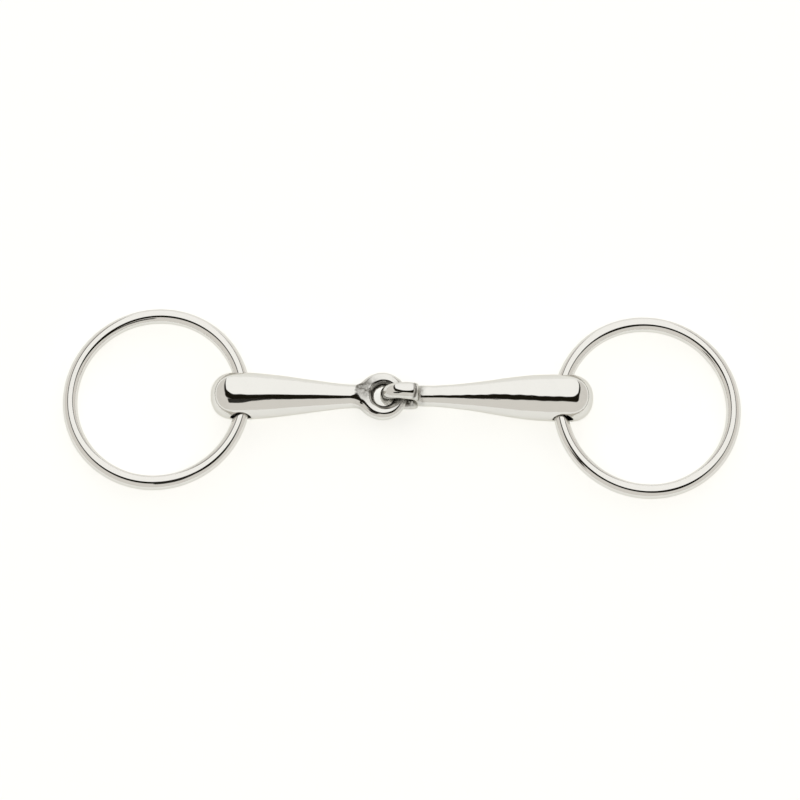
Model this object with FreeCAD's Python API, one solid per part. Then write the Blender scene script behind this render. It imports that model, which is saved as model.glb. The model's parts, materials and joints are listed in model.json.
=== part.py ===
import FreeCAD, Part
import math
import os
from FreeCAD import Placement, Rotation, Vector

# Loose-ring, single-jointed snaffle bit with a hollow mouthpiece, in millimetres.
# The bit lies on a table at z = 0 with the mouthpiece along X: left ring at -X, right ring at +X.
# Four pieces: two rings, and two cannons whose eyes are linked through each other.

# Rings: round wire, welded closed.
RING_PITCH_R = 35.7
RING_WIRE_R = 3.0

# Cannons. Each arm is measured from its ring hole to the centre of its eye.
LEFT_ARM = 57.8
RIGHT_ARM = 64.6
BUTT_R = 9.65
BUTT_OVERHANG = 2.7      # the butt's round end is centred this far outboard of the ring hole
HOLE_R = 4.15
HOLE_EDGE_R = 1.0        # rounding of the ring hole's two mouths
WALL = 2.4               # of the hollow part

# The outside of an arm, from the ring hole to the eye, is one cubic curve.
# (handle at the butt, handle at the neck as x and r, radius where the neck meets the eye)
LEFT_TAPER = (13.5, (35.5, 5.2), 4.8)
RIGHT_TAPER = (23.5, (26.5, 5.9), 4.3)
HOLLOW_SHARE = 0.7       # the hollow follows this share of the curve, and then closes

# Eyes: rings of round bar at the inner end of each arm.
EYE_PITCH_R = 7.4
EYE_BAR_R = 2.65

# How the pieces lie at rest.
EYE_SPACING = 9.0        # between the two eye centres, along X: the joint is pulled nearly tight
BAR_SAG = 1.0            # the left eye's bar lies this far below the middle of the right eye
RIGHT_YAW = -0.8         # degrees, the right cannon as seen from above
LEFT_RING_YAW = 0.5      # degrees, each ring as seen from above
RIGHT_RING_YAW = -5.1
RING_BIAS = 1.0          # the wire's inmost point lies this far inboard of the hole axis

RIGHT_EYE_Z = EYE_PITCH_R + EYE_BAR_R
LEFT_BAR_Z = RIGHT_EYE_Z - BAR_SAG


def revolve_profile(edges):
    """A solid of revolution about X from edges that start and end on the axis."""
    start = edges[0].Vertexes[0].Point
    end = edges[-1].Vertexes[-1].Point
    wire = Part.Wire(edges + [Part.makeLine(end, start)])
    return Part.Face(wire).revolve(Vector(0, 0, 0), Vector(1, 0, 0), 360)


def round_end(centre_x, radius, towards):
    """A quarter circle between the axis and the point above centre_x; towards is -1 or +1 along X."""
    tip = Vector(centre_x + towards * radius, 0, 0)
    middle = Vector(centre_x + towards * radius * math.sqrt(0.5), 0, radius * math.sqrt(0.5))
    top = Vector(centre_x, 0, radius)
    points = (tip, middle, top) if towards < 0 else (top, middle, tip)
    return Part.Arc(*points).toShape()


def taper_curve(taper, end_x):
    """The cubic outline of an arm, from above the ring hole to the neck."""
    handle_x, neck_handle, neck_r = taper
    curve = Part.BezierCurve()
    curve.setPoles([
        Vector(0, 0, BUTT_R),
        Vector(handle_x, 0, BUTT_R),
        Vector(neck_handle[0], 0, neck_handle[1]),
        Vector(end_x, 0, neck_r),
    ])
    return curve


def arm_outside(arm, taper):
    """The arm's outer body: round butt, taper, and a neck that ends in the middle of the eye's bar."""
    neck_r = taper[2]
    neck_x = arm - EYE_PITCH_R - neck_r
    barrel = Part.makeLine(Vector(-BUTT_OVERHANG, 0, BUTT_R), Vector(0, 0, BUTT_R))
    return revolve_profile([
        round_end(-BUTT_OVERHANG, BUTT_R, -1),
        barrel,
        taper_curve(taper, neck_x).toShape(),
        round_end(neck_x, neck_r, 1),
    ])


def arm_hollow(arm, taper):
    """The space inside the arm: the outside curve moved in by the wall, and closed by a round end."""
    neck_x = arm - EYE_PITCH_R - taper[2]
    inner = taper_curve(taper, neck_x)
    inner.segment(0, HOLLOW_SHARE)
    inner.setPoles([pole - Vector(0, 0, WALL) for pole in inner.getPoles()])
    end = inner.getPoles()[-1]
    barrel = Part.makeLine(Vector(-BUTT_OVERHANG, 0, BUTT_R - WALL), Vector(0, 0, BUTT_R - WALL))
    return revolve_profile([
        round_end(-BUTT_OVERHANG, BUTT_R - WALL, -1),
        barrel,
        inner.toShape(),
        round_end(end.x, end.z, 1),
    ])


def round_hole_mouths(body):
    """Rounds the edges where the ring hole comes out of the butt."""
    mouth_edges = []
    for edge in body.Edges:
        if edge.Degenerated:
            continue
        points = edge.discretize(8)
        on_hole = all(abs(math.hypot(p.x, p.z) - HOLE_R) < 0.01 for p in points)
        at_surface = all(abs(p.y) > BUTT_R - WALL for p in points)
        if on_hole and at_surface:
            mouth_edges.append(edge)
    return body.makeFillet(HOLE_EDGE_R, mouth_edges)


def make_cannon(arm, taper, eye_normal):
    """A cannon with its ring hole's centre at the origin, the hole along Y and the eye at x = arm."""
    body = arm_outside(arm, taper)
    hole = Part.makeCylinder(HOLE_R, 4 * BUTT_R, Vector(0, -2 * BUTT_R, 0), Vector(0, 1, 0))
    body = round_hole_mouths(body.cut(hole))
    eye = Part.makeTorus(EYE_PITCH_R, EYE_BAR_R, Vector(arm, 0, 0), eye_normal)
    return body.fuse(eye).cut(arm_hollow(arm, taper))


def make_ring():
    """A ring in the XY plane whose inmost point is on the ring hole's side, towards +X."""
    centre = Vector(RING_BIAS - RING_PITCH_R, 0, 0)
    return Part.makeTorus(RING_PITCH_R, RING_WIRE_R, centre, Vector(0, 0, 1))


def turned(axis, degrees):
    return Placement(Vector(0, 0, 0), Rotation(axis, degrees))


def moved(vector):
    return Placement(vector, Rotation())


def left_cannon_place():
    """The left cannon rests on its butt; its eye's far bar lies low in the right eye."""
    drop = math.degrees(math.asin((BUTT_R - LEFT_BAR_Z) / (LEFT_ARM + EYE_PITCH_R)))
    return moved(Vector(0, 0, BUTT_R)) * turned(Vector(0, 1, 0), drop)


def right_cannon_place(left_eye_x):
    """The right cannon rests on its butt and on the rim of its upright eye."""
    eye = Vector(left_eye_x + EYE_SPACING, 0, RIGHT_EYE_Z)
    drop = math.degrees(math.asin((RIGHT_EYE_Z - BUTT_R) / RIGHT_ARM))
    facing = turned(Vector(0, 0, 1), RIGHT_YAW) * turned(Vector(0, 1, 0), drop)
    return moved(eye) * facing * moved(Vector(RIGHT_ARM, 0, 0)) * turned(Vector(0, 0, 1), 180)


def ring_place(hole, yaw, half_turn):
    """A ring hangs in its hole at one side and touches the table at the other."""
    reach = 2 * RING_PITCH_R - RING_BIAS
    tilt = math.degrees(math.asin((hole.z - RING_WIRE_R) / reach))
    facing = turned(Vector(0, 0, 1), half_turn + yaw)
    return moved(hole) * facing * turned(Vector(0, 1, 0), -tilt)


def place_pieces():
    """Each piece where it lies, the ring holes and the fold's pivot, with the left hole at x = 0."""
    left_place = left_cannon_place()
    left_hole = left_place.multVec(Vector(0, 0, 0))
    left_eye = left_place.multVec(Vector(LEFT_ARM, 0, 0))
    right_place = right_cannon_place(left_eye.x)
    right_hole = right_place.multVec(Vector(0, 0, 0))
    pieces = {
        "left_ring": make_ring().transformed(ring_place(left_hole, LEFT_RING_YAW, 0).toMatrix()),
        "right_ring": make_ring().transformed(ring_place(right_hole, RIGHT_RING_YAW, 180).toMatrix()),
        "left_cannon": make_cannon(LEFT_ARM, LEFT_TAPER, Vector(0, 0, 1)),
        "right_cannon": make_cannon(RIGHT_ARM, RIGHT_TAPER, Vector(0, 1, 0)),
    }
    pieces["left_cannon"] = pieces["left_cannon"].transformed(left_place.toMatrix())
    pieces["right_cannon"] = pieces["right_cannon"].transformed(right_place.toMatrix())
    pivots = {
        "left_ring_swing": left_hole,
        "right_ring_swing": right_hole,
        "mouth_fold": left_place.multVec(Vector(LEFT_ARM + EYE_PITCH_R, 0, 0)),
    }
    return pieces, pivots


def centre_on_origin(pieces, pivots):
    """Moves everything so that the middle of the bit's box is at x = y = 0 and its lowest point at z = 0."""
    box = Part.makeCompound(list(pieces.values())).optimalBoundingBox(False, False)
    shift = Vector(-box.Center.x, -box.Center.y, -box.ZMin)
    pieces = {name: piece.translated(shift) for name, piece in pieces.items()}
    pivots = {name: point + shift for name, point in pivots.items()}
    return pieces, pivots


os.makedirs("parts", exist_ok=True)
pieces, pivots = centre_on_origin(*place_pieces())
for name, piece in pieces.items():
    solid = piece.Solids[0]
    print(name, "valid", solid.isValid(), "solids", len(piece.Solids), "volume", round(solid.Volume, 1))
    solid.exportStep(os.path.join("parts", name + ".step"))
for name, point in pivots.items():
    print(name, [round(value, 4) for value in point])
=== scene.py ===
import json
import math
from typing import NamedTuple
import bpy
import numpy as np
from mathutils import Matrix, Vector


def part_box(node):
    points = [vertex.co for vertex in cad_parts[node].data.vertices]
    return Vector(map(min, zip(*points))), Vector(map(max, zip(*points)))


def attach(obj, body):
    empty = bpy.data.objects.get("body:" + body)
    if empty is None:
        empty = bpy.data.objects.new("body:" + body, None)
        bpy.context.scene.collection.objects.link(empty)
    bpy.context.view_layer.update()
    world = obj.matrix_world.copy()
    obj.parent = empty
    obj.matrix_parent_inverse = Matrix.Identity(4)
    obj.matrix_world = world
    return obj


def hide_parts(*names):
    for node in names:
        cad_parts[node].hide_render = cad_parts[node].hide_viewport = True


# Loose-ring snaffle bit in mirror-polished steel, lying on a pale table.
# The bit's own lengths are in millimetres, and MM turns them into Blender's metres.

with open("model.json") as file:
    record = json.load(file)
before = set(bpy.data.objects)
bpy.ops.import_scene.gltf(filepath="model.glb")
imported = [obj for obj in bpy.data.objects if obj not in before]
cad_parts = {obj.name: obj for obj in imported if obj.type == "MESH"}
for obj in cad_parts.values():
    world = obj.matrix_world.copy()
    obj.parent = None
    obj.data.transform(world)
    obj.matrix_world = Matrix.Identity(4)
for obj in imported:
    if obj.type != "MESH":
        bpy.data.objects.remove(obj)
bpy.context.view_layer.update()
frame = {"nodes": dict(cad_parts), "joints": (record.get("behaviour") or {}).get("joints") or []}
MM = 0.001
joints = {joint["name"]: joint for joint in frame["joints"]}

# Driving dimensions, the same as in the CAD model.
RING_PITCH_R = 35.7
RING_WIRE_R = 3.0
BUTT_R = 9.65
BUTT_OVERHANG = 2.7
HOLE_R = 4.15
WALL = 2.4
EYE_PITCH_R = 7.4
EYE_BAR_R = 2.65
HOLLOW_SHARE = 0.7

# Each eye is a bar bent round and closed.
BAR_GROWTH = 0.6         # added to the bar's half thickness at the neck, fading out towards the worn tip
HEEL_FILLET = 2.2        # softens the cut across an eye's neck side
SEAM_DEPTH = 0.16        # the groove where the bar's end was closed
SEAM_WIDTH = 0.35


class Cannon(NamedTuple):
    """One half of the mouthpiece."""

    arm: float              # from the ring hole to the eye's centre
    butt_handle: float      # the taper's curve handle at the butt, along the arm
    neck_handle: tuple      # its handle at the neck, along the arm and out from it
    neck_r: float           # radius where the neck meets the eye
    neck_gap: float         # how far short of the eye's centre the neck ends
    thinning: float         # length over which the neck thins
    end_thickness: float    # half thickness where the neck ends
    neck_fillet: float      # fillet from the neck into the eye
    seam: float             # angle of the closing seam round the eye, from the eye's tip
    seam_patch_reach: float             # how far the darker, duller patch reaches from the seam
    bar_width: float        # how much wider than deep the eye's bar is
    eye_power: float        # power of the eye's curve; 2 is a circle
    heel: float             # how far back from its centre the eye reaches
    eye_is_flat: bool       # the eye lies in the plane of the rings


LEFT = Cannon(
    arm=57.8,
    butt_handle=13.5,
    neck_handle=(35.5, 5.2),
    neck_r=4.8,
    neck_gap=5.6,
    thinning=7.5,
    end_thickness=2.65,
    neck_fillet=3.4,
    seam=math.radians(158),
    seam_patch_reach=4.0,
    bar_width=1.0,
    eye_power=2.0,
    heel=12.0,
    eye_is_flat=True,
)
RIGHT = Cannon(
    arm=64.6,
    butt_handle=23.5,
    neck_handle=(26.5, 5.9),
    neck_r=4.3,
    neck_gap=5.3,
    thinning=2.5,
    end_thickness=4.1,
    neck_fillet=1.9,
    seam=math.radians(116),
    seam_patch_reach=0.7,
    bar_width=1.15,
    eye_power=2.35,
    heel=5.8,
    eye_is_flat=False,
)

# Soft edges that polishing leaves, and the slight waves of a hand-polished surface.
BUTT_SQUARENESS = 2.2    # power of the butt's end curve; 2 is a half sphere
CAP_FILLET = 1.6         # round the arm's end, within the eye
MOUTH_FILLET = 1.1       # round the ring hole's outer edge
BORE_FILLET = 0.6        # where the ring hole opens into the hollow
RIPPLE = 0.026           # height of the waves

# Where the steel is dull and darkened with painted shade.
RECESS_REACH = 2.2       # how far out from the surface room is measured, for a polishing wheel and for the painted shade
CREASE_GAIN = 1.4        # how quickly a lack of room makes it dull and darkens it with painted shade
INNER_START = 0.35       # how far a face turns towards the eye's middle before it is dull and gets painted shade
INNER_SPAN = 0.5         # how much further it turns until it is fully dull and shaded
BETWEEN_EYES_SHADE = 0.9          # how dark the painted shade is on the eye's faces where the other eye lies on them
BETWEEN_EYES_ANGLE = 0.65         # how far round the eye from its tip that reaches, in radians

# The meshes of the cannons.
CELL = 0.33              # size of their faces
SLOPE_STEP = 0.02        # for slopes of the distance field
SURFACE_STEPS = 4        # times that each vertex is moved nearer the surface


# ---------------------------------------------------------------- meshes

def new_object(name, vertices, faces, normals=None):
    """A smooth-shaded mesh object from arrays in millimetres."""
    mesh = bpy.data.meshes.new(name)
    mesh.from_pydata((vertices * MM).tolist(), [], faces.tolist())
    mesh.polygons.foreach_set("use_smooth", np.ones(len(mesh.polygons), dtype=bool))
    mesh.update()
    if normals is not None:
        mesh.normals_split_custom_set_from_vertices(normals.tolist())
    piece = bpy.data.objects.new(name, mesh)
    bpy.context.scene.collection.objects.link(piece)
    return piece


def soft_min(a, b, reach):
    """The smaller of two fields, rounded where they cross within the reach."""
    near = np.maximum(reach - np.abs(a - b), 0.0) / reach
    return np.minimum(a, b) - near ** 3 * reach / 6.0


def soft_max(a, b, reach):
    """The larger of two fields, rounded in the same way."""
    return -soft_min(-a, -b, reach)


def taper_points(cannon, count=1500):
    """Points (x, r) along the cubic outline of an arm, from the ring hole to the neck."""
    neck_x = cannon.arm - EYE_PITCH_R - cannon.neck_r
    t = np.linspace(0.0, 1.0, count)
    weights = ((1 - t) ** 3, 3 * t * (1 - t) ** 2, 3 * t ** 2 * (1 - t), t ** 3)
    xs = (0.0, cannon.butt_handle, cannon.neck_handle[0], neck_x)
    rs = (BUTT_R, BUTT_R, cannon.neck_handle[1], cannon.neck_r)
    x = sum(w * value for w, value in zip(weights, xs))
    r = sum(w * value for w, value in zip(weights, rs))
    return x, r


def butt_field(x, rho, inset, squareness):
    """Distance to the butt's round end."""
    out = np.maximum(-BUTT_OVERHANG - x, 0.0)
    return (out ** squareness + rho ** squareness) ** (1.0 / squareness) - (BUTT_R - inset)


def hollow_field(x, rho, outline):
    """The space inside a cannon: the outline moved in by the wall, with a round end."""
    xs, rs = outline
    barrel = rho - (np.interp(x, xs, rs) - WALL)
    end = np.hypot(np.maximum(x - xs[-1], 0.0), rho) - (rs[-1] - WALL)
    field = np.where(x < -BUTT_OVERHANG, butt_field(x, rho, WALL, 2.0), barrel)
    return np.where(x > xs[-1], end, field)


def arm_field(cannon, x, across, normal, outline):
    """The outside of an arm. Its neck keeps its width and thins along the eye's normal."""
    xs, rs = outline
    neck_end = cannon.arm - cannon.neck_gap
    width = np.interp(x, xs, rs)
    slope = np.interp(x, xs, np.gradient(rs, xs))
    share = np.clip((x - neck_end) / cannon.thinning + 1.0, 0.0, 1.0)
    share = share * share * (3.0 - 2.0 * share)
    thickness = width + (cannon.end_thickness - width) * share
    barrel = (np.hypot(across / width, normal / thickness) - 1.0) * thickness
    barrel = soft_max(barrel / np.sqrt(1.0 + slope ** 2), x - neck_end, CAP_FILLET)
    butt = butt_field(x, np.hypot(across, normal), 0.0, BUTT_SQUARENESS)
    return np.where(x < -BUTT_OVERHANG, butt, barrel)


def ripple_field(x, y, z):
    """Slight waves left by polishing by hand: some 16 to 20 mm long, with finer ones of 8 to 10 mm."""
    broad = np.sin(0.31 * x + 0.22 * y + 0.4) * np.sin(0.27 * z - 0.18 * x + 1.1)
    fine = np.sin(0.74 * x - 0.35 * z + 2.0) * np.sin(0.52 * y + 0.41 * x)
    return RIPPLE * (broad + 0.5 * fine)


def eye_field(cannon, along, across, normal):
    """An eye of bent bar, worn at its tip, with a shallow groove where its end was closed."""
    power = cannon.eye_power
    around = np.arctan2(across, along)
    from_seam = around - cannon.seam
    off_seam = EYE_PITCH_R * np.sin(from_seam)
    groove = SEAM_DEPTH * np.exp(-(off_seam / SEAM_WIDTH) ** 2) * (np.cos(from_seam) > 0)
    unworn = BAR_GROWTH * (1.0 - np.cos(around)) / 2.0
    from_centre = (np.abs(along) ** power + np.abs(across) ** power) ** (1.0 / power)
    from_pitch = from_centre - (EYE_PITCH_R - unworn)
    eye = np.hypot(from_pitch, normal / cannon.bar_width) - (EYE_BAR_R + unworn) + groove
    return soft_max(eye, -along - cannon.heel, HEEL_FILLET)


def cannon_field(cannon):
    """The field of a cannon, below zero inside the steel. Its ring hole is at the origin, along Y."""
    outline = taper_points(cannon)
    stop = int(HOLLOW_SHARE * len(outline[0]))
    hollow_outline = (outline[0][:stop], outline[1][:stop])

    def field(points):
        x, y, z = points
        across, normal = (y, z) if cannon.eye_is_flat else (z, y)
        body = arm_field(cannon, x, across, normal, outline)
        eye = eye_field(cannon, x - cannon.arm, across, normal)
        steel = soft_min(body, eye, cannon.neck_fillet) + ripple_field(x, y, z)
        hole = np.hypot(x, z) - HOLE_R
        steel = soft_max(steel, -hole, MOUTH_FILLET)
        return soft_max(steel, -hollow_field(x, np.hypot(y, z), hollow_outline), BORE_FILLET)

    return field


def dull_and_shade_share(cannon, field, points, normals):
    """How dark and dull each point is: painted shade in creases, the ring hole, inside the eye and between
    the eyes, and a darker patch along the seam.
    """
    # painted shade: darker, and duller, where the surface has little room round it, like ambient occlusion
    room = field(points + RECESS_REACH * normals) / RECESS_REACH
    crease_shade = np.clip(CREASE_GAIN * (1.0 - room), 0.0, 1.0)
    x, y, z = points
    along = x - cannon.arm
    forward, side, upward = normals
    if not cannon.eye_is_flat:
        side, upward = upward, side
    across = y if cannon.eye_is_flat else z
    from_axis = np.hypot(along, across) + 1e-9
    inward = -(forward * along + side * across) / from_axis
    # painted shade: faces turned towards the eye's middle are darkened
    inside_eye_shade = np.clip((inward - INNER_START) / INNER_SPAN, 0.0, 1.0) * (from_axis < EYE_PITCH_R)
    around = np.arctan2(across, along)
    from_seam = around - cannon.seam
    beside_seam = from_axis * np.sin(from_seam) / cannon.seam_patch_reach
    on_eye = from_axis < EYE_PITCH_R + 1.5 * EYE_BAR_R
    # a darker patch along the eye's seam: duller steel, with painted shade where it spreads over the neck's
    # notch
    seam_patch = np.exp(-beside_seam ** 2) * (np.cos(from_seam) > 0) * on_eye
    # painted shade: the upper and lower faces near the eye's tip, where the other eye lies on it, are
    # darkened
    between_eyes_shade = BETWEEN_EYES_SHADE * np.abs(upward) * np.exp(-(around / BETWEEN_EYES_ANGLE) ** 2) * (along > 0.0)
    # painted shade: the ring hole's bore, inside the barrel, is darkened
    in_barrel = np.hypot(y, z) < BUTT_R - 0.8 * WALL
    in_bore = np.hypot(x, z) < HOLE_R + 1.0
    return np.maximum.reduce([crease_shade, inside_eye_shade, seam_patch, between_eyes_shade, in_barrel & in_bore])


def field_slope(field, points):
    """The slope of a field at points, from central differences."""
    slope = np.empty_like(points)
    for axis in range(3):
        step = np.zeros((3, 1))
        step[axis] = SLOPE_STEP
        slope[axis] = field(points + step) - field(points - step)
    slope /= 2 * SLOPE_STEP
    return slope


def field_surface(field, low, high):
    """A quad mesh of a field's zero surface: one vertex per crossed cell, moved onto the surface."""
    axes = [np.arange(a, b + CELL, CELL) for a, b in zip(low, high)]
    grid = np.stack(np.meshgrid(*axes, indexing="ij"))
    shape = grid.shape[1:]
    values = field(grid.reshape(3, -1)).reshape(shape)
    inside = values < 0.0

    cells = tuple(size - 1 for size in shape)
    total = np.zeros((3,) + cells)
    count = np.zeros(cells)
    corners = [(i, j, k) for i in (0, 1) for j in (0, 1) for k in (0, 1)]
    for start in corners:
        for axis in range(3):
            if start[axis] == 1:
                continue
            end = list(start)
            end[axis] = 1
            first = tuple(slice(s, s + c) for s, c in zip(start, cells))
            second = tuple(slice(e, e + c) for e, c in zip(end, cells))
            crossed = inside[first] != inside[second]
            a, b = values[first], values[second]
            share = np.where(crossed, a / np.where(crossed, a - b, 1.0), 0.0)
            for part in range(3):
                where = start[part] + (share if part == axis else 0.0)
                total[part] += np.where(crossed, where, 0.0)
            count += crossed

    used = count > 0
    index = np.full(cells, -1)
    index[used] = np.arange(used.sum())
    cell_at = np.argwhere(used).T
    points = (cell_at + total[:, used] / count[used]) * CELL + np.array(low)[:, None]

    faces = []
    for axis in range(3):
        b, c = (axis + 1) % 3, (axis + 2) % 3
        ahead = [slice(None)] * 3
        behind = [slice(None)] * 3
        ahead[axis] = slice(1, None)
        behind[axis] = slice(None, -1)
        edges = np.argwhere(inside[tuple(ahead)] != inside[tuple(behind)])
        edges = edges[(edges[:, b] > 0) & (edges[:, c] > 0)]
        starts_inside = inside[tuple(edges.T)]
        around = []
        for step_b, step_c in ((1, 1), (0, 1), (0, 0), (1, 0)):
            cell = edges.copy()
            cell[:, b] -= step_b
            cell[:, c] -= step_c
            around.append(index[tuple(cell.T)])
        quads = np.stack(around, axis=1)
        quads[~starts_inside] = quads[~starts_inside][:, ::-1]
        faces.append(quads)

    for _ in range(SURFACE_STEPS):
        slope = field_slope(field, points)
        points = points - slope * field(points) / np.sum(slope ** 2, axis=0)
    normals = field_slope(field, points)
    normals /= np.linalg.norm(normals, axis=0)
    return points.T, np.concatenate(faces), normals.T


def place_matrix(origin, toward, hole_axis):
    """Turns a cannon's own axes (X to its eye, Y along its ring hole) to where it lies."""
    x_axis = (toward - origin).normalized()
    y_axis = (hole_axis - x_axis * hole_axis.dot(x_axis)).normalized()
    z_axis = x_axis.cross(y_axis)
    turn = Matrix((x_axis, y_axis, z_axis)).transposed()
    return Matrix.Translation(origin) @ turn.to_4x4()


def make_cannon(name, cannon, place):
    """A cannon as one closed mesh, with how dull and how darkened by painted shade it is at each vertex."""
    field = cannon_field(cannon)
    margin = 2 * CELL
    side = max(BUTT_R, EYE_PITCH_R + EYE_BAR_R) + margin
    low = (-BUTT_OVERHANG - BUTT_R - margin, -side, -side)
    high = (cannon.arm + EYE_PITCH_R + EYE_BAR_R + margin, side, side)
    points, faces, normals = field_surface(field, low, high)
    shade_and_dull = dull_and_shade_share(cannon, field, points.T, normals.T)
    turn = np.array(place.to_3x3())
    points = points @ turn.T + np.array(place.translation) / MM
    piece = new_object(name, points, faces, normals @ turn.T)
    # painted shade: the mask of darkening and dullness is stored on each vertex for the material
    attribute = piece.data.attributes.new("shade_and_dull", "FLOAT", "POINT")
    attribute.data.foreach_set("value", shade_and_dull.astype(np.float32))
    node = name.replace("_steel", "")
    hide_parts(node)
    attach(piece, node)
    return piece


def ring_place(node):
    """The centre and normal of a ring, from its CAD mesh."""
    mesh = frame["nodes"][node].data
    points = np.empty(len(mesh.vertices) * 3)
    mesh.vertices.foreach_get("co", points)
    points = points.reshape(-1, 3) / MM
    low, high = points.min(axis=0), points.max(axis=0)
    centre = (low + high) / 2
    spread = np.linalg.svd(points - points.mean(axis=0), full_matrices=False)[2]
    normal = spread[2] * np.sign(spread[2][2])
    return centre, normal


def make_ring(name, around=480, across=56):
    """A ring of round wire, welded and polished flush, as a fine torus of quads."""
    node = name.replace("_steel", "")
    centre, normal = ring_place(node)
    side = np.cross(normal, (1.0, 0.0, 0.0))
    side /= np.linalg.norm(side)
    front = np.cross(side, normal)
    u = np.linspace(0, 2 * np.pi, around, endpoint=False)[:, None]
    v = np.linspace(0, 2 * np.pi, across, endpoint=False)[None, :]
    radial = np.cos(u)[..., None] * front + np.sin(u)[..., None] * side
    outward = np.cos(v)[..., None] * radial + np.sin(v)[..., None] * normal
    points = centre + RING_PITCH_R * radial + RING_WIRE_R * outward
    i = np.arange(around)[:, None]
    j = np.arange(across)[None, :]
    i_next = (i + 1) % around
    j_next = (j + 1) % across
    corners = (i * across + j, i_next * across + j, i_next * across + j_next, i * across + j_next)
    faces = np.stack([np.broadcast_to(c, (around, across)) for c in corners], axis=-1)
    piece = new_object(name, points.reshape(-1, 3), faces.reshape(-1, 4), outward.reshape(-1, 3))
    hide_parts(node)
    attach(piece, node)
    return piece


# ---------------------------------------------------------------- materials

class Nodes:
    """Short names for the shader nodes that the materials use."""

    def __init__(self, tree):
        self.tree = tree
        tree.nodes.clear()

    def add(self, kind, **settings):
        node = self.tree.nodes.new(kind)
        for name, value in settings.items():
            setattr(node, name, value)
        return node

    def link(self, source, target):
        self.tree.links.new(source, target)

    def math(self, operation, a, b=None, c=None):
        node = self.add("ShaderNodeMath", operation=operation)
        for socket, value in zip(node.inputs, (a, b, c)):
            if value is None:
                continue
            if isinstance(value, (int, float)):
                socket.default_value = value
            else:
                self.link(value, socket)
        return node.outputs[0]

    def noise(self, place, scale, detail):
        """A noise value for each place."""
        node = self.add("ShaderNodeTexNoise")
        self.link(place, node.inputs["Vector"])
        node.inputs["Scale"].default_value = scale
        node.inputs["Detail"].default_value = detail
        return node.outputs["Fac"]

    def ramp(self, value, start, end, low=0.0, high=1.0, shape="LINEAR"):
        """Goes from low to high while the value goes from start to end."""
        node = self.add("ShaderNodeMapRange", interpolation_type=shape)
        self.link(value, node.inputs["Value"])
        node.inputs["From Min"].default_value = start
        node.inputs["From Max"].default_value = end
        node.inputs["To Min"].default_value = low
        node.inputs["To Max"].default_value = high
        return node.outputs[0]

    def mix(self, share, first, second):
        """Mixes two colours."""
        node = self.add("ShaderNodeMix", data_type="RGBA")
        for socket, value in zip((node.inputs[0], node.inputs[6], node.inputs[7]), (share, first, second)):
            if hasattr(value, "is_output"):
                self.link(value, socket)
            else:
                socket.default_value = value
        return node.outputs[2]


RING_STEEL = (0.75, 0.74, 0.715, 1.0)
MOUTH_STEEL = (0.75, 0.745, 0.72, 1.0)
# near-black painted shade for creases, holes, eye insides and the gap between the eyes, where the steel is
# also duller
DULL_SHADED_STEEL = (0.10, 0.092, 0.078, 1.0)
EDGE_TINT = (0.80, 0.79, 0.75, 1.0)
DULL_ROUGHNESS = 0.3     # added to the roughness where the steel is dull
HAZE_SCALE = 90.0        # the scales of the noises, per metre
MOTTLE_SCALE = 480.0
LINE_SCALE = 900.0
LINE_DEPTH = 0.00002     # in metres


def polished_steel(name, colour, roughness, line_stretch):
    """Mirror-polished stainless steel with faint haze, fine polishing lines, and painted shade in mottled
    patches on duller steel in its recesses.

    The lines run along the axis that has the smallest stretch.
    """
    material = bpy.data.materials.new(name)
    material.use_nodes = True
    nodes = Nodes(material.node_tree)
    output = nodes.add("ShaderNodeOutputMaterial")
    steel = nodes.add("ShaderNodeBsdfPrincipled")
    nodes.link(steel.outputs["BSDF"], output.inputs["Surface"])
    steel.inputs["Metallic"].default_value = 1.0
    steel.inputs["Specular Tint"].default_value = EDGE_TINT
    place = nodes.add("ShaderNodeTexCoord").outputs["Object"]

    haze = nodes.noise(place, HAZE_SCALE, 5.0)
    rough = nodes.ramp(haze, 0.3, 0.7, roughness * 0.7, roughness * 1.5)
    darker = tuple(0.97 * channel for channel in colour[:3]) + (1.0,)
    bright = nodes.mix(haze, darker, colour)

    # painted shade: the per-vertex mask, broken into mottled patches, darkens the base colour towards the
    # near-black colour and adds roughness
    mottle = nodes.math("MULTIPLY_ADD", nodes.noise(place, MOTTLE_SCALE, 3.0), 3.0, -0.75)
    patches = nodes.math("MINIMUM", nodes.math("MAXIMUM", mottle, 0.2), 1.0)
    shade_and_dull = nodes.add("ShaderNodeAttribute", attribute_name="shade_and_dull").outputs["Fac"]
    mottled_shade_and_dull = nodes.math("MULTIPLY", shade_and_dull, patches)
    nodes.link(nodes.mix(mottled_shade_and_dull, bright, DULL_SHADED_STEEL), steel.inputs["Base Color"])
    nodes.link(nodes.math("MULTIPLY_ADD", mottled_shade_and_dull, DULL_ROUGHNESS, rough), steel.inputs["Roughness"])

    stretch = nodes.add("ShaderNodeMapping")
    nodes.link(place, stretch.inputs["Vector"])
    stretch.inputs["Scale"].default_value = line_stretch
    bump = nodes.add("ShaderNodeBump")
    bump.inputs["Strength"].default_value = 0.05
    bump.inputs["Distance"].default_value = LINE_DEPTH
    nodes.link(nodes.noise(stretch.outputs[0], LINE_SCALE, 3.0), bump.inputs["Height"])
    nodes.link(bump.outputs["Normal"], steel.inputs["Normal"])
    return material


def table_material():
    """A matt white studio table."""
    material = bpy.data.materials.new("table_white")
    material.use_nodes = True
    nodes = Nodes(material.node_tree)
    output = nodes.add("ShaderNodeOutputMaterial")
    paint = nodes.add("ShaderNodeBsdfPrincipled")
    nodes.link(paint.outputs["BSDF"], output.inputs["Surface"])
    paint.inputs["Base Color"].default_value = (0.93, 0.925, 0.90, 1.0)
    paint.inputs["Roughness"].default_value = 0.9
    paint.inputs["Specular IOR Level"].default_value = 0.1
    return material


# ---------------------------------------------------------------- studio

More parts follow.
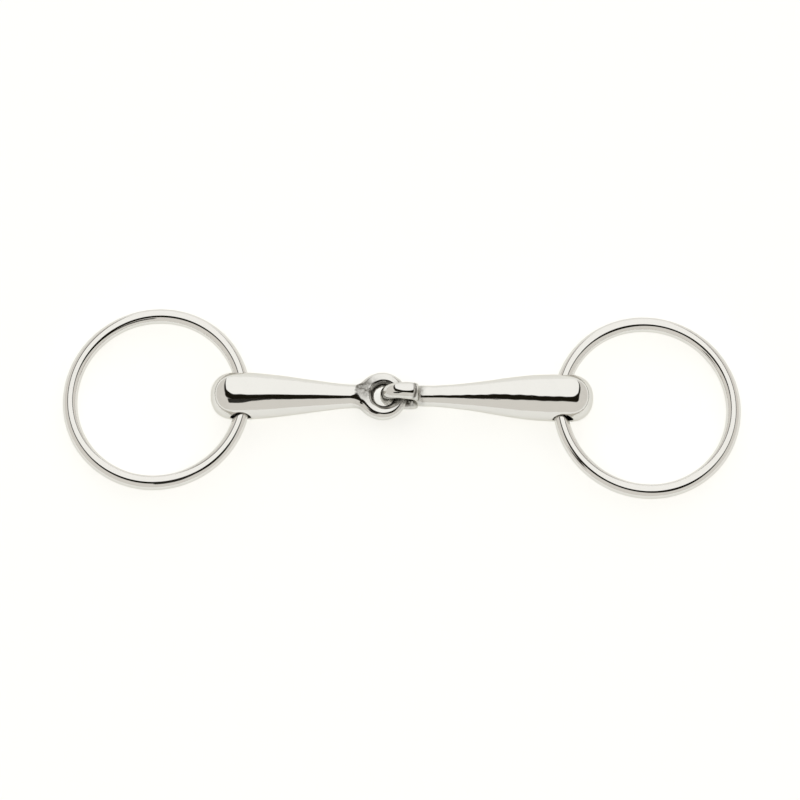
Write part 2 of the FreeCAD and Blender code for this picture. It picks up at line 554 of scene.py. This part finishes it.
PANEL_WHITE = (1.17, 1.16, 1.13, 1.0)
CLOTH_GREY = (0.83, 0.80, 0.75, 1.0)
SLOT_DARK = (0.012, 0.010, 0.006, 1.0)
MIDDLE = 0.06             # the panel's middle, to the right of the bit
FLARE = 0.32              # how fast the panel widens behind the bit
CORNER_POWER = 1.7        # shape of the rounded corners; 2 is a quarter circle
LOWEST = 0.01             # least height of a direction, which keeps the horizon at a finite distance
# Half width, front edge, slant of the front edge, corner radius and softness, in ceiling heights.
PANEL = (0.54, -0.17, 0.1, 0.54, 0.03)
SLOT = (0.80, -0.66, 0.25, 0.34, 0.06)
# The corners and height of a dark card in front of the bit's left side, in mm.
CARD = ((-140.0, -168.0), (-70.0, -168.0), (-6.0, -78.0), (-140.0, -78.0))
CARD_HEIGHT = 150.0


def light_tent():
    """The tent round the bit: a white panel overhead and behind, a dark slot round it, then grey cloth.

    Each direction is followed to a ceiling one unit up, and what it meets depends on how far
    sideways and back it gets there.
    """
    world = bpy.data.worlds.new("light_tent")
    bpy.context.scene.world = world
    world.use_nodes = True
    world.cycles_visibility.diffuse = False
    nodes = Nodes(world.node_tree)
    output = nodes.add("ShaderNodeOutputWorld")
    background = nodes.add("ShaderNodeBackground")
    nodes.link(background.outputs[0], output.inputs["Surface"])
    split = nodes.add("ShaderNodeSeparateXYZ")
    nodes.link(nodes.add("ShaderNodeTexCoord").outputs["Generated"], split.inputs[0])
    height = nodes.math("MAXIMUM", split.outputs["Z"], LOWEST)
    side = nodes.math("DIVIDE", split.outputs["X"], height)
    back = nodes.math("DIVIDE", split.outputs["Y"], height)
    off_middle = nodes.math("ABSOLUTE", nodes.math("SUBTRACT", side, MIDDLE))
    off_side = nodes.math("MULTIPLY_ADD", nodes.math("MAXIMUM", back, 0.0), -FLARE, off_middle)

    def beyond(half_width, front, slant, radius, softness):
        """0 on a rectangle with rounded front corners, 1 outside it."""
        past_side = nodes.math("MAXIMUM", nodes.math("SUBTRACT", off_side, half_width - radius), 0.0)
        depth = nodes.math("MULTIPLY_ADD", side, slant, back)
        past_front = nodes.math("MAXIMUM", nodes.math("SUBTRACT", front + radius, depth), 0.0)
        powers = [nodes.math("POWER", past, CORNER_POWER) for past in (past_side, past_front)]
        distance = nodes.math("POWER", nodes.math("ADD", *powers), 1.0 / CORNER_POWER)
        return nodes.ramp(distance, radius - softness, radius + softness, shape="SMOOTHSTEP")

    around = nodes.mix(beyond(*SLOT), SLOT_DARK, CLOTH_GREY)
    nodes.link(nodes.mix(beyond(*PANEL), PANEL_WHITE, around), background.inputs["Color"])


def make_card():
    """A dark card held above the table, seen only in the steel."""
    corners = [(x, y, CARD_HEIGHT) for x, y in CARD]
    card = new_object("dark_card", np.array(corners), np.array([(0, 1, 2, 3)]))
    material = bpy.data.materials.new("card_black")
    material.use_nodes = True
    paint = material.node_tree.nodes["Principled BSDF"]
    paint.inputs["Base Color"].default_value = SLOT_DARK
    paint.inputs["Roughness"].default_value = 0.9
    card.data.materials.append(material)
    card.visible_camera = False
    card.visible_diffuse = False
    card.visible_shadow = False


def make_table():
    """A flat pale table far larger than the view."""
    half = 5000.0
    corners = np.array([(-half, -half, 0), (half, -half, 0), (half, half, 0), (-half, half, 0)])
    table = new_object("table", corners, np.array([(0, 1, 2, 3)]))
    table.data.materials.append(table_material())


# The camera, with its lengths in metres.
CAMERA_ELEVATION = math.radians(72)
CAMERA_DISTANCE = 2.0
VIEW_WIDTH = 0.328
AIM = Vector((-0.0007, 0.0036, 0.0))


def make_camera():
    """A long lens looking steeply down on the bit from the front."""
    camera = bpy.data.objects.new("camera", bpy.data.cameras.new("camera"))
    bpy.context.scene.collection.objects.link(camera)
    bpy.context.scene.camera = camera
    back = Vector((0, -math.cos(CAMERA_ELEVATION), math.sin(CAMERA_ELEVATION)))
    camera.location = AIM + back * CAMERA_DISTANCE
    camera.rotation_euler = back.to_track_quat("Z", "Y").to_euler()
    camera.data.sensor_width = 36.0
    camera.data.lens = camera.data.sensor_width * CAMERA_DISTANCE / VIEW_WIDTH
    camera.data.clip_start = 0.01
    camera.data.clip_end = 20.0


def joint_line(name):
    """A point on a joint's axis, and the axis."""
    joint = joints[name]
    return Vector(joint["pos_m"]), Vector(joint["axis"])


def left_cannon_place():
    """The left cannon points from its ring hole to the fold between the eyes."""
    hole, axis = joint_line("left_ring_swing")
    fold, _ = joint_line("mouth_fold")
    return place_matrix(hole, fold, axis)


def right_cannon_place():
    """The right cannon's eye stands on the table, an arm's length from its ring hole."""
    hole, axis = joint_line("right_ring_swing")
    eye_z = (EYE_PITCH_R + EYE_BAR_R) * MM
    inward = axis.cross(Vector((0, 0, 1)))
    reach = math.sqrt((RIGHT.arm * MM) ** 2 - (eye_z - hole.z) ** 2)
    eye = hole + inward.normalized() * reach
    eye.z = eye_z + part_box("right_cannon")[0][2]
    return place_matrix(hole, eye, axis)


def make_bit():
    """The two rings and the two cannons, in their steel."""
    ring_steel = polished_steel("ring_steel", RING_STEEL, roughness=0.06, line_stretch=(1.0, 1.0, 0.2))
    mouth_steel = polished_steel("mouth_steel", MOUTH_STEEL, roughness=0.05, line_stretch=(0.05, 1.0, 1.0))
    for name in ("left_ring_steel", "right_ring_steel"):
        make_ring(name).data.materials.append(ring_steel)
    for cannon in (
        make_cannon("left_cannon_steel", LEFT, left_cannon_place()),
        make_cannon("right_cannon_steel", RIGHT, right_cannon_place()),
    ):
        cannon.data.materials.append(mouth_steel)


def make_sun(name, energy, width, towards, casts_shadow):
    """A broad distant light, its width in degrees, seen by the table but not in the steel."""
    sun = bpy.data.objects.new(name, bpy.data.lights.new(name, "SUN"))
    bpy.context.scene.collection.objects.link(sun)
    sun.data.energy = energy
    sun.data.angle = math.radians(width)
    sun.data.color = (1.0, 0.997, 0.985)
    sun.data.use_shadow = casts_shadow
    sun.rotation_euler = Vector(towards).to_track_quat("Z", "Y").to_euler()
    sun.visible_glossy = False


make_camera()
make_bit()
make_table()
make_card()
light_tent()
make_sun("sky_light", energy=1.7, width=130, towards=(0.05, 0.3, 1.0), casts_shadow=True)
make_sun("fill_light", energy=1.85, width=20, towards=(0.0, 0.0, 1.0), casts_shadow=False)
bpy.context.scene.view_settings.view_transform = "Standard"
